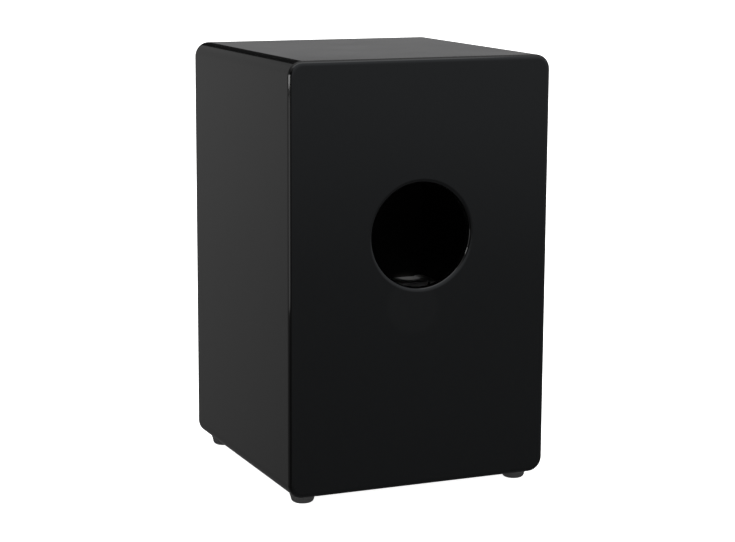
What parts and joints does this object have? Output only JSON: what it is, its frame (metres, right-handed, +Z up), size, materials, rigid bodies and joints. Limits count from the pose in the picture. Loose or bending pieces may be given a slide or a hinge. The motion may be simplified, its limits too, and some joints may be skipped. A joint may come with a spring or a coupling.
{
  "type": "cajon",
  "caption": "Upright box drum to sit on: black lacquered plywood box with rounded edges, thin playing front, round sound hole in the back, rubber feet and an internal turning snare bar.",
  "frame": {"origin": "on the floor, under the middle of the box, in the plane of the rubber feet's undersides", "axes": "+Z up to the seat; -Y the front, where the playing plate is; +Y the rear, where the sound hole is; +X the right-hand side for someone who faces the playing plate"},
  "size_m": [0.3, 0.3, 0.47],
  "materials": {
    "black_lacquer": "satin to semi-gloss black lacquer on plywood",
    "black_tapa": "black-stained thin plywood under satin lacquer",
    "black_steel": "black-oxide steel screws",
    "bare_batten": "softwood sprayed matt black with the inside",
    "rubber_foot": "moulded black rubber",
    "zinc_steel": "bright zinc-plated steel",
    "beech": "planed beech in a thin coat of matt grey primer",
    "nylon": "natural nylon",
    "brass_plate": "rolled brass strip",
    "snare_steel": "bright spring-steel wire coils"
  },
  "bodies": {
    "box": {"top_panel": "black_lacquer", "bottom_panel": "black_lacquer", "left_side_panel": "black_lacquer", "right_side_panel": "black_lacquer", "rear_panel": "black_lacquer", "tapa": "black_tapa", "tapa_screws": "black_steel", "batten_top_left": "bare_batten", "batten_top_right": "bare_batten", "batten_bottom_left": "bare_batten", "batten_bottom_right": "bare_batten", "foot_front_left": "rubber_foot", "foot_front_right": "rubber_foot", "foot_rear_left": "rubber_foot", "foot_rear_right": "rubber_foot", "foot_washers": "zinc_steel", "foot_screws": "zinc_steel", "cleat_left": "beech", "cleat_right": "beech", "cleat_screws": "zinc_steel"},
    "snare": {"snare_bar": "beech", "pivot_pin_left": "zinc_steel", "pivot_pin_right": "zinc_steel", "friction_washer_left": "nylon", "friction_washer_right": "nylon", "snare_plate_left": "brass_plate", "snare_plate_right": "brass_plate", "snare_wires_left": "snare_steel", "snare_wires_right": "snare_steel", "snare_plate_screws": "zinc_steel"}
  },
  "joints": [
    {"name": "snare_turn", "type": "hinge", "parent": "box", "child": "snare", "pos_m": [0, -0.119, 0.172], "axis": [-1, 0, 0], "range_deg": [0, 45]}
  ]
}
